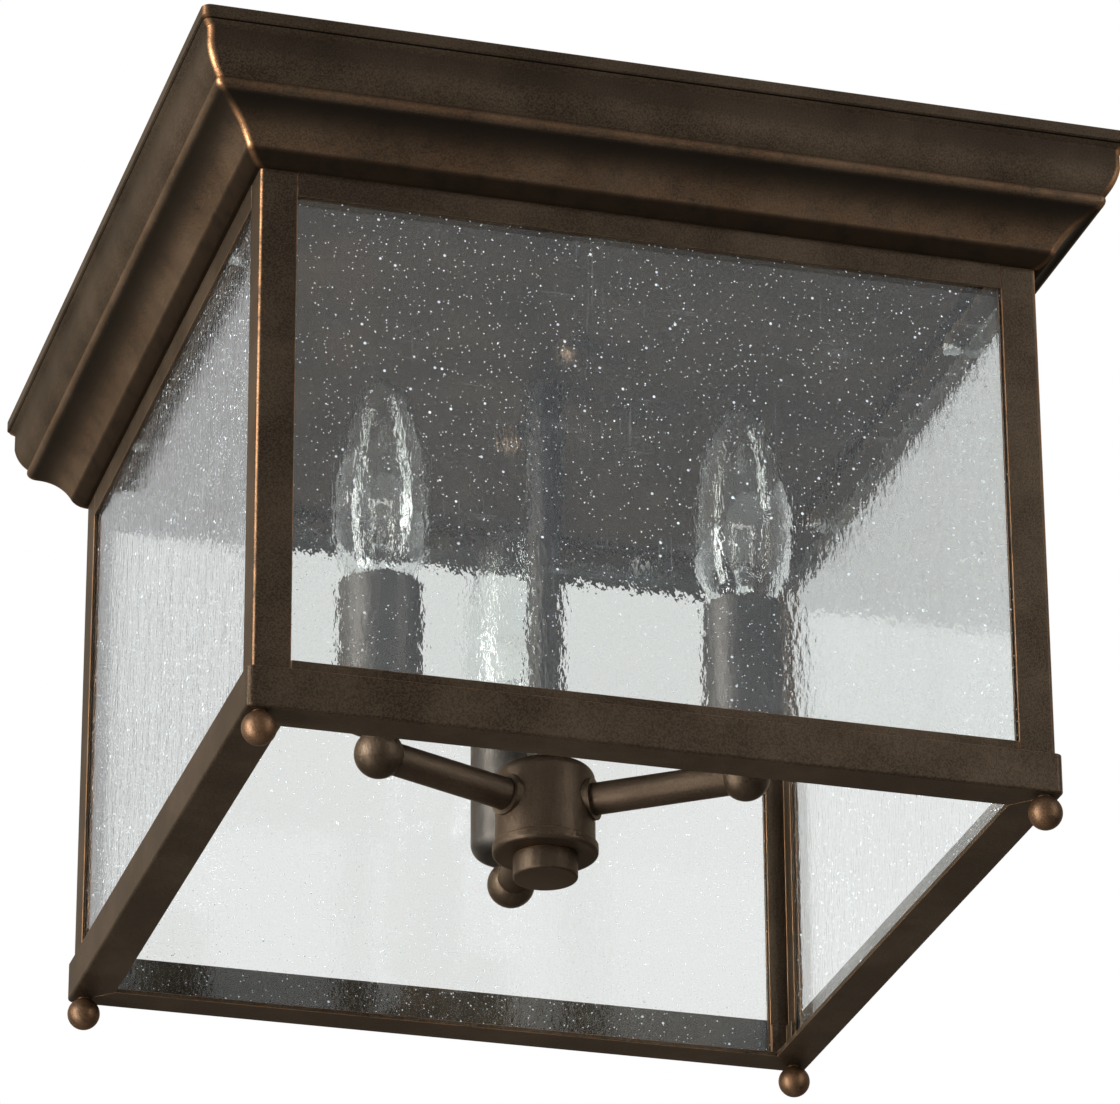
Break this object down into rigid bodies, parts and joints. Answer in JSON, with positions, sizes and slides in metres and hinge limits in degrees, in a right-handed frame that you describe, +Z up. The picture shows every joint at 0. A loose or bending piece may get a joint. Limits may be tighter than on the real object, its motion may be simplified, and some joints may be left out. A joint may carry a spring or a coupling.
{
  "type": "porch ceiling lantern",
  "caption": "Square flush-mounted porch lantern: moulded canopy, open-bottomed cage glazed with seeded glass, and a candle cluster on a central stem.",
  "frame": {"origin": "middle of the mounting strap's upper face, in the ceiling plane", "axes": "+Z up into the ceiling; the front faces -Y and the mounting strap lies along Y"},
  "size_m": [0.3048, 0.3048, 0.2339],
  "materials": {
    "bronze_sheet": "oil-rubbed bronze, satin, copper rubbed through at the edges",
    "bronze_turned": "oil-rubbed bronze, satin, copper rubbed through at the rims",
    "bronze_inside": "oil-rubbed bronze, satin",
    "seeded_glass": "clear, wavy, with seeds",
    "bulb_glass": "clear, polished",
    "bulb_base": "nickel-washed brass",
    "socket_insulation": "black phenolic",
    "brass": "plain",
    "zinc_steel": "zinc plated",
    "ground_screw": "green",
    "wire": "black insulation",
    "connector": "orange moulded"
  },
  "bodies": {
    "lantern": {"arm_1": "bronze_turned", "arm_2": "bronze_turned", "arm_3": "bronze_turned", "arm_ball_1": "bronze_turned", "arm_ball_2": "bronze_turned", "arm_ball_3": "bronze_turned", "cage_screws": "zinc_steel", "candle_cup_1": "bronze_turned", "candle_cup_2": "bronze_turned", "candle_cup_3": "bronze_turned", "canopy_pan": "bronze_sheet", "ceiling_plate": "bronze_sheet", "corner_brackets": "bronze_inside", "corner_post_back_left": "bronze_sheet", "corner_post_back_right": "bronze_sheet", "corner_post_front_left": "bronze_sheet", "corner_post_front_right": "bronze_sheet", "corner_strip_back_left": "bronze_inside", "corner_strip_back_right": "bronze_inside", "corner_strip_front_left": "bronze_inside", "corner_strip_front_right": "bronze_inside", "frame_rail_back": "bronze_sheet", "frame_rail_front": "bronze_sheet", "frame_rail_left": "bronze_sheet", "frame_rail_right": "bronze_sheet", "glass_back": "seeded_glass", "glass_front": "seeded_glass", "glass_left": "seeded_glass", "glass_right": "seeded_glass", "ground_screw": "ground_screw", "hub_body": "bronze_turned", "hub_cap": "bronze_turned", "lamp_socket_1": "socket_insulation", "lamp_socket_2": "socket_insulation", "lamp_socket_3": "socket_insulation", "lamp_wires": "wire", "mounting_strap": "zinc_steel", "sill_bars": "bronze_sheet", "stem_lock_nut": "zinc_steel", "stem_tube": "bronze_turned", "strap_studs": "zinc_steel", "threaded_nipples": "brass", "top_rail_back": "bronze_sheet", "top_rail_front": "bronze_sheet", "top_rail_left": "bronze_sheet", "top_rail_right": "bronze_sheet", "wire_connector": "connector"},
    "finial_front_left": {"ball_finial_front_left": "bronze_turned"},
    "finial_front_right": {"ball_finial_front_right": "bronze_turned"},
    "finial_back_right": {"ball_finial_back_right": "bronze_turned"},
    "finial_back_left": {"ball_finial_back_left": "bronze_turned"},
    "hub_knob": {"hub_knob": "bronze_turned"},
    "cap_nut_front": {"cap_nut_front": "bronze_turned"},
    "cap_nut_back": {"cap_nut_back": "bronze_turned"},
    "bulb_1_base": {"bulb_base_1": "bulb_base"},
    "bulb_1_glass": {"bulb_glass_1": "bulb_glass"},
    "bulb_2_base": {"bulb_base_2": "bulb_base"},
    "bulb_2_glass": {"bulb_glass_2": "bulb_glass"},
    "bulb_3_base": {"bulb_base_3": "bulb_base"},
    "bulb_3_glass": {"bulb_glass_3": "bulb_glass"}
  },
  "joints": [
    {"name": "finial_front_left_unscrew", "type": "slide", "parent": "lantern", "child": "finial_front_left", "axis": [0, 0, -1], "range_m": [0, 0.0039]},
    {"name": "finial_front_right_unscrew", "type": "slide", "parent": "lantern", "child": "finial_front_right", "axis": [0, 0, -1], "range_m": [0, 0.0039]},
    {"name": "finial_back_right_unscrew", "type": "slide", "parent": "lantern", "child": "finial_back_right", "axis": [0, 0, -1], "range_m": [0, 0.0039]},
    {"name": "finial_back_left_unscrew", "type": "slide", "parent": "lantern", "child": "finial_back_left", "axis": [0, 0, -1], "range_m": [0, 0.0039]},
    {"name": "hub_knob_unscrew", "type": "slide", "parent": "lantern", "child": "hub_knob", "axis": [0, 0, -1], "range_m": [0, 0.0065]},
    {"name": "cap_nut_front_unscrew", "type": "slide", "parent": "lantern", "child": "cap_nut_front", "axis": [0, 0, -1], "range_m": [0, 0.0066]},
    {"name": "cap_nut_back_unscrew", "type": "slide", "parent": "lantern", "child": "cap_nut_back", "axis": [0, 0, -1], "range_m": [0, 0.0066]},
    {"name": "bulb_1_rise", "type": "slide", "parent": "lantern", "child": "bulb_1_glass", "axis": [0, 0, 1], "range_m": [0, 0.01016]},
    {"name": "bulb_1_turn", "type": "hinge", "parent": "bulb_1_glass", "child": "bulb_1_base", "pos_m": [-0.06259, -0.02734, -0.1], "axis": [0, 0, 1], "range_deg": [0, 1440]},
    {"name": "bulb_2_rise", "type": "slide", "parent": "lantern", "child": "bulb_2_glass", "axis": [0, 0, 1], "range_m": [0, 0.01016]},
    {"name": "bulb_2_turn", "type": "hinge", "parent": "bulb_2_glass", "child": "bulb_2_base", "pos_m": [0.05497, -0.04053, -0.1], "axis": [0, 0, 1], "range_deg": [0, 1440]},
    {"name": "bulb_3_rise", "type": "slide", "parent": "lantern", "child": "bulb_3_glass", "axis": [0, 0, 1], "range_m": [0, 0.01016]},
    {"name": "bulb_3_turn", "type": "hinge", "parent": "bulb_3_glass", "child": "bulb_3_base", "pos_m": [0.00761, 0.06787, -0.1], "axis": [0, 0, 1], "range_deg": [0, 1440]}
  ],
  "couplings": [
    {"joint": "bulb_1_rise", "follows": "bulb_1_turn", "m_per_rad": 0.00040425},
    {"joint": "bulb_2_rise", "follows": "bulb_2_turn", "m_per_rad": 0.00040425},
    {"joint": "bulb_3_rise", "follows": "bulb_3_turn", "m_per_rad": 0.00040425}
  ]
}
